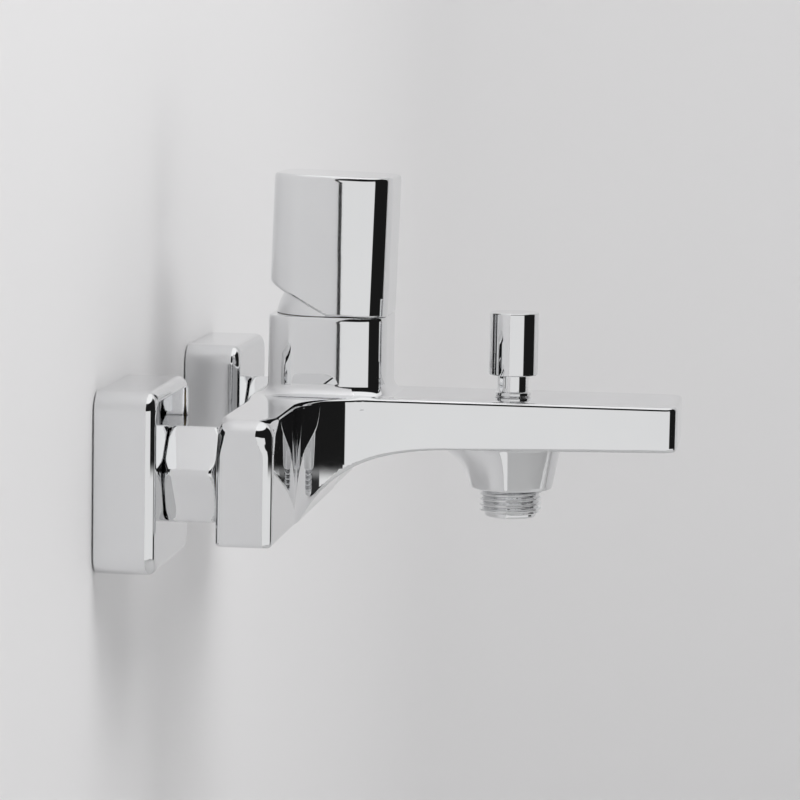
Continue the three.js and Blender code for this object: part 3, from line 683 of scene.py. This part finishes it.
def escutcheon_surface(step):
    coarse, reach, margin = 1.4, 7, 1
    lines = grid_lines(-PLATE_HALF - margin, PLATE_HALF + margin, step, coarse,
                       (-PLATE_HALF, PLATE_HALF, -G34_RADIUS, G34_RADIUS), reach)
    return surface(escutcheon_field, lines, even(-PLATE_DEPTH - margin, margin, step), lines)


def union_nut_surface(step):
    reach, margin = 19, 1
    lines = even(-reach, reach, step)
    return surface(union_nut_field, lines, even(BAR_BACK - margin, -PLATE_DEPTH + margin, step), lines)


def connector_surface(step):
    along = 0.8  # the thread needs a finer step along its axis
    return surface(connector_field, even(-18, 18, step), even(-28, 23, step * along), even(-22, 15, step))


def wall_side():
    step = 0.45
    plate, nut, connector = escutcheon_surface(step), union_nut_surface(step), connector_surface(step)
    for side, sign in (("left", -1), ("right", 1)):
        for name, parts, node in (
                ("escutcheon_shell", plate, "escutcheon"),
                ("hexagon_nut", nut, "union_nut"),
                ("eccentric_union", connector, "eccentric_connector")):
            piece(f"{name}_{side}", moved(parts, (sign * INLET_X, 0, 0)), "chrome_plate", "faucet",
                  [f"{node}_{side}"])


wall_side()


# ------------------------------------------------------------------ handle
def handle_field(x, y, z):
    y = y - NECK_Y
    block = rectangle(x, y, HANDLE_HALF, HANDLE_HALF, HANDLE_CORNER)
    block = rounded(block + falling_away(z, HANDLE_TOP), z - HANDLE_TOP, SOFT_EDGE)
    block = rounded(block, HANDLE_BOTTOM - z, PLAIN_EDGE)
    under_bevel = (HANDLE_BOTTOM - z) * math.cos(HANDLE_BEVEL) + y * math.sin(HANDLE_BEVEL)
    block = rounded(block, under_bevel, BEVEL_EDGE)
    ball = np.sqrt(x ** 2 + y ** 2 + (z - PIVOT_Z) ** 2) - DOME_RADIUS - HANDLE_GAP
    ring = np.hypot(x, y)
    pocket = np.maximum(np.maximum(POCKET_INNER - ring, ring - POCKET_OUTER), slab(z, *POCKET))
    socket = rectangle(x, y, LEVER_SOCKET_HALF, LEVER_SOCKET_HALF, LEVER_SOCKET_CORNER)
    socket = np.maximum(socket, slab(z, *LEVER_SOCKET))
    screw_hole = rod(x, z - SCREW_Z, y, SCREW_RADIUS, 0, SCREW_LENGTH)
    plug_hole = rod(x, z - SCREW_Z, y, PLUG_HOLE_RADIUS, SCREW_LENGTH, PLUG_HOLE_END)
    return without(block, any_of(ball, pocket, socket, screw_hole, plug_hole), FINE_EDGE)


def handle_surface():
    fine = 0.45
    coarse, margin = 1.3, 1
    across = grid_lines(-HANDLE_HALF - margin, HANDLE_HALF + margin, fine, coarse,
                        (-HANDLE_HALF, HANDLE_HALF), reach=7)
    up = grid_lines(HANDLE_BOTTOM - margin, HANDLE_TOP + margin, fine, coarse,
                    (HANDLE_BOTTOM, HANDLE_TOP, SCREW_Z), reach=5)
    return surface(handle_field, across, across + NECK_Y, up)


piece("handle_block", leaned(handle_surface()), "chrome_plate", "lever", ["handle"])

plug = turned([(0, PLUG_BACK, 0), (PLUG_RADIUS, PLUG_BACK, 0.2), (PLUG_RADIUS, PLUG_FACE, 0.5),
               (0, PLUG_FACE, 0)], "Y")
piece("screw_hole_plug", leaned(moved(plug, (0, NECK_Y, SCREW_Z))), "chrome_plate", "lever", ["screw_plug"])


def dome_outline():
    rim = [(DOME_BORE, NECK_TOP, 0.1), (DOME_RIM, NECK_TOP, FINE_EDGE)]
    first = math.asin(DOME_RIM / DOME_RADIUS)
    last = math.acos((DOME_TOP - PIVOT_Z) / DOME_RADIUS)
    for n in range(DOME_STEPS + 1):
        angle = first + (last - first) * n / DOME_STEPS
        rim.append((DOME_RADIUS * math.sin(angle), PIVOT_Z + DOME_RADIUS * math.cos(angle), 0.1))
    return rim + [(DOME_HOLE, DOME_TOP, FINE_EDGE), (DOME_HOLE, DOME_TOP - DOME_LIP, 0.2),
                  (DOME_BORE, DOME_SHOULDER, FINE_EDGE)]


dome = moved(turned(dome_outline()), (0, NECK_Y, 0))
piece("cartridge_dome", dome, "chrome_plate", "faucet", ["dome_cover"])


# ------------------------------------------------------------------ diverter and outlets
knob = turned([
    (0, KNOB_ROD_TOP, 0), (KNOB_ROD_RADIUS, KNOB_ROD_TOP, 0.1), (KNOB_ROD_RADIUS, KNOB_BORE_TOP, 0.1),
    (KNOB_BORE, KNOB_BORE_TOP, 0.2), (KNOB_BORE, KNOB_BOTTOM, 0.2),
    (KNOB_RADIUS, KNOB_BOTTOM, 0.4), (KNOB_RADIUS, KNOB_TOP, 0.5), (0, KNOB_TOP, 0)])
piece("pull_knob", moved(knob, (0, DIVERTER_Y, 0)), "chrome_plate", "diverter", ["diverter_knob"])

tower = turned([
    (TOWER_BORE, TOWER_BOTTOM, 0.1), (TOWER_RADIUS, TOWER_BOTTOM, 0.1),
    (TOWER_RADIUS, COLLAR_BOTTOM, 0.05), (COLLAR_RADIUS, COLLAR_BOTTOM, 0.2),
    (COLLAR_RADIUS, COLLAR_TOP, 0.4), (TOWER_RADIUS, COLLAR_TOP, 0.2),
    (TOWER_RADIUS, TOWER_TOP, 0.4), (TOWER_GUIDE, TOWER_TOP, 0.2),
    (TOWER_GUIDE, TOWER_BORE_TOP, 0.1), (TOWER_BORE, TOWER_BORE_TOP, 0.1)])
piece("diverter_stem", moved(tower, (0, DIVERTER_Y, 0)), "chrome_plate", "faucet", ["diverter_tower"])


def coil(radius, wire, low, high, turns):
    """Round wire wound about the Z axis between two heights."""
    segments, around = turns * 32, 12
    points, normals, faces = [], [], []
    rise = (high - low - wire) / (2 * math.pi * turns)
    for s in range(segments + 1):
        a = 2 * math.pi * turns * s / segments
        out = Vector((math.cos(a), math.sin(a), 0))
        along = Vector((-radius * out.y, radius * out.x, rise)).normalized()
        middle = out * radius + Vector((0, 0, low + wire / 2 + rise * a))
        for c in range(around):
            b = 2 * math.pi * c / around
            normal = out * math.cos(b) + along.cross(out) * math.sin(b)
            points.append(middle + normal * wire / 2)
            normals.append(normal)
    for s in range(segments):
        for c in range(around):
            here, beside = s * around + c, s * around + (c + 1) % around
            faces.append([here, here + around, beside + around, beside])
    faces.append(list(range(around)))
    faces.append([segments * around + c for c in reversed(range(around))])
    return np.array(points), faces, np.array(normals)


def spring(node, radius, wire, fixed, free, turns):
    """A compression spring wound between its fixed and free ends."""
    parts = moved(coil(radius, wire, min(fixed, free), max(fixed, free), turns), (0, DIVERTER_Y, 0))
    made = piece(node + "_coil", parts, "stainless_steel", "faucet", [node])
    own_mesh(made)


spring("diverter_spring", radius=3.3, wire=0.7, fixed=29.7, free=17.7, turns=5)
spring("check_valve_spring", radius=2.4, wire=0.5, fixed=-17.3, free=-11.1, turns=4)


def nipple_field(x, y, z):
    start, end = NIPPLE_THREAD
    threaded = rounded(thread(x, y, z, G12_RADIUS), start - z, 0.5)
    threaded = rounded(threaded, z - end, PLAIN_EDGE)
    lip = rounded(np.hypot(x, y) - NIPPLE_LIP_RADIUS, NIPPLE_END - z, 0.6)
    lip = np.maximum(lip, z - NIPPLE_LIP_TOP)
    upper = np.maximum(np.hypot(x, y) - NIPPLE_NECK_RADIUS, slab(z, *NIPPLE_NECK))
    solid = filleted(np.minimum(threaded, upper), lip, FINE_EDGE)
    bore = np.minimum(rod(x, y, z, VALVE_RADIUS, *VALVE_SEAT), np.hypot(x, y) - NIPPLE_BORE)
    return without(solid, bore, PLAIN_EDGE)


def nipple_surface():
    step = 0.28
    across = even(-11.5, 11.5, step)
    return surface(nipple_field, across, across, even(-21.5, -2.5, step))


piece("hose_outlet_thread", moved(nipple_surface(), (0, DIVERTER_Y, 0)), "chrome_plate", "faucet",
      ["hose_nipple"])

aerator_lip_top = UNDERSIDE_AT_TIP + AERATOR_LIP_DEPTH
aerator = turned([
    (AERATOR_LIP, UNDERSIDE_AT_TIP, 0.2), (AERATOR_RADIUS, UNDERSIDE_AT_TIP, 0.4),
    (AERATOR_RADIUS, AERATOR_TOP, 0.2), (AERATOR_BORE, AERATOR_TOP, 0.1),
    (AERATOR_BORE, aerator_lip_top, 0.1), (AERATOR_LIP, aerator_lip_top, 0.1)])
piece("aerator_housing", moved(aerator, (0, AERATOR_Y, 0)), "chrome_plate", "faucet", ["aerator_ring"])


# ------------------------------------------------------------------ studio
def paint(name, shade, roughness):
    tree, shader = new_material(name)
    shader.inputs["Base Color"].default_value = (*shade, 1)
    shader.inputs["Roughness"].default_value = roughness
    return tree, shader


def staged_sheet(name, rows, paint_name):
    """A smooth sheet through rows of points, in metres."""
    mesh = bpy.data.meshes.new(name)
    points = [point for row in rows for point in row]
    width = len(rows[0])
    faces = [
        (r * width + c, r * width + c + 1, (r + 1) * width + c + 1, (r + 1) * width + c)
        for r in range(len(rows) - 1) for c in range(width - 1)]
    mesh.from_pydata(points, [], faces)
    mesh.shade_smooth()
    mesh.materials.append(materials[paint_name])
    made = bpy.data.objects.new(name, mesh)
    bpy.context.scene.collection.objects.link(made)


def one_sided(tree, shader):
    """Only the front of the sheet is there, so that it doesn't hide the object from behind."""
    output = tree.nodes["Material Output"]
    side = tree.nodes.new("ShaderNodeNewGeometry")
    clear = tree.nodes.new("ShaderNodeBsdfTransparent")
    mix = tree.nodes.new("ShaderNodeMixShader")
    tree.links.new(side.outputs["Backfacing"], mix.inputs["Fac"])
    tree.links.new(shader.outputs["BSDF"], mix.inputs[1])
    tree.links.new(clear.outputs["BSDF"], mix.inputs[2])
    tree.links.new(mix.outputs["Shader"], output.inputs["Surface"])


# the room, in metres
WALL_Y = 0.0004
WALL_END = -0.465
WALL_TURN = 1.3
COVE = 0.5
COVE_STEPS = 12
ROOM_LOW, ROOM_HIGH = -0.9, 1.5
ROOM_SIDE = -2
ROOM_FRONT = -3
BOARD_DEPTH = 0.0016


def wall_plan():
    """The wall seen from above: straight behind the faucet, then round a cove towards the front."""
    line = [(WALL_END, WALL_Y), (0, WALL_Y), (WALL_TURN - COVE, WALL_Y)]
    for n in range(1, COVE_STEPS + 1):
        a = math.pi / 2 * n / COVE_STEPS
        line.append((WALL_TURN - COVE + COVE * math.sin(a), WALL_Y - COVE + COVE * math.cos(a)))
    return line + [(WALL_TURN, ROOM_FRONT)]


one_sided(*paint("wall_paint", shade=(0.80, 0.795, 0.80), roughness=0.6))
staged_sheet("wall", [[(x, y, height) for x, y in wall_plan()] for height in (ROOM_LOW, ROOM_HIGH)],
             "wall_paint")
paint("floor_paint", shade=(0.65, 0.65, 0.65), roughness=0.7)
staged_sheet("floor", [[(ROOM_SIDE, y, ROOM_LOW), (WALL_TURN, y, ROOM_LOW)] for y in (ROOM_FRONT, 0)],
             "floor_paint")
paint("board_edge_paint", shade=(0.03, 0.03, 0.03), roughness=0.6)
staged_sheet("board_edge", [[(WALL_END, y, z) for y in (WALL_Y - BOARD_DEPTH, WALL_Y)]
                            for z in (ROOM_LOW, ROOM_HIGH)], "board_edge_paint")
bpy.data.objects["board_edge"].visible_camera = False

# What the chrome sees. Angles are in degrees: sides are measured round the vertical from -X, with
# minus towards the spout's tip, and heights from the horizon. Each screen stands in front of the ones
# before it: the dark cloth, a dark strip below it, and the pale panel beside the faucet.
SURROUND = 0.86
CEILING = {"from": 52, "softness": 6, "brightness": 1.05}
SCREENS = [
    {"sides": (-118, 60), "heights": (-7.9, 50), "softness": (1.0, 0.15), "brightness": 0.012},
    {"sides": (-122, -95), "heights": (-35, -7.9), "softness": (1.0, 0.15), "brightness": 0.03},
    {"sides": (-52, 60), "heights": (-60, 9), "softness": (0.6, 0.6), "brightness": 0.86},
]


def studio_world():
    """Soft light from all round, with a bright ceiling, dark cloth on two sides and a pale panel."""
    world = bpy.data.worlds.new("studio")
    bpy.context.scene.world = world
    world.use_nodes = True
    tree = world.node_tree
    place = tree.nodes.new("ShaderNodeTexCoord")
    parts = tree.nodes.new("ShaderNodeSeparateXYZ")
    tree.links.new(place.outputs["Generated"], parts.inputs[0])

    def calculate(kind, *values):
        made = tree.nodes.new("ShaderNodeMath")
        made.operation = kind
        for n, value in enumerate(values):
            if isinstance(value, (int, float)):
                made.inputs[n].default_value = value
            else:
                tree.links.new(value, made.inputs[n])
        return made.outputs[0]

    def step_up(value, degrees, softness):
        made = tree.nodes.new("ShaderNodeMapRange")
        made.interpolation_type = "SMOOTHSTEP"
        made.inputs["From Min"].default_value = math.radians(degrees - softness)
        made.inputs["From Max"].default_value = math.radians(degrees + softness)
        tree.links.new(value, made.inputs["Value"])
        return made.outputs["Result"]

    def window(value, low, high, softness):
        rise = step_up(value, low, softness)
        fall = step_up(value, high, softness)
        return calculate("SUBTRACT", rise, fall)

    def shade(under, mask, brightness):
        return calculate("ADD", calculate("MULTIPLY", under, calculate("SUBTRACT", 1.0, mask)),
                         calculate("MULTIPLY", mask, brightness))

    towards = calculate("ARCTAN2", parts.outputs["Y"], calculate("MULTIPLY", parts.outputs["X"], -1.0))
    rise = calculate("ARCSINE", parts.outputs["Z"])
    light = shade(SURROUND, step_up(rise, CEILING["from"], CEILING["softness"]), CEILING["brightness"])
    for screen in SCREENS:
        side_softness, height_softness = screen["softness"]
        mask = calculate("MULTIPLY", window(towards, *screen["sides"], side_softness),
                         window(rise, *screen["heights"], height_softness))
        light = shade(light, mask, screen["brightness"])
    colour = tree.nodes.new("ShaderNodeCombineColor")
    for channel in colour.inputs:
        tree.links.new(light, channel)
    tree.links.new(colour.outputs[0], tree.nodes["Background"].inputs["Color"])


studio_world()


def soft_light(name, place, target, size, power):
    """A large light that shines on the wall but isn't seen in the chrome."""
    data = bpy.data.lights.new(name, "AREA")
    data.size = size
    data.energy = power
    made = bpy.data.objects.new(name, data)
    made.location = place
    made.rotation_euler = (Vector(target) - Vector(place)).to_track_quat("-Z", "Y").to_euler()
    made.visible_glossy = False
    bpy.context.scene.collection.objects.link(made)


soft_light("key", place=(-0.25, -0.8, 1.1), target=(0, -0.05, 0), size=0.9, power=12)
soft_light("fill", place=(0.1, -2.1, -0.1), target=(1.0, -0.2, -0.2), size=1.8, power=9)


# ------------------------------------------------------------------ camera
AZIMUTH, ELEVATION, ROLL = (math.radians(a) for a in (82.9285, 6.6107, 1.0409))
CAMERA_PLACE = Vector((-1.1017, -0.2196, 0.14605))
LENS, SENSOR = 148.5, 36


def camera_turn():
    """The camera's axes from its compass angle, its downward tilt and its roll."""
    forward = Vector((math.sin(AZIMUTH) * math.cos(ELEVATION), math.cos(AZIMUTH) * math.cos(ELEVATION),
                      -math.sin(ELEVATION)))
    level = Vector((math.cos(AZIMUTH), -math.sin(AZIMUTH), 0))
    upright = level.cross(forward)
    right = level * math.cos(ROLL) + upright * math.sin(ROLL)
    up = upright * math.cos(ROLL) - level * math.sin(ROLL)
    return Matrix((right, up, -forward)).transposed().to_4x4()


camera_data = bpy.data.cameras.new("camera")
camera_data.lens = LENS
camera_data.sensor_width = SENSOR
camera = bpy.data.objects.new("camera", camera_data)
camera.matrix_world = Matrix.Translation(CAMERA_PLACE) @ camera_turn()
bpy.context.scene.collection.objects.link(camera)
bpy.context.scene.camera = camera
bpy.context.scene.view_settings.view_transform = "Standard"
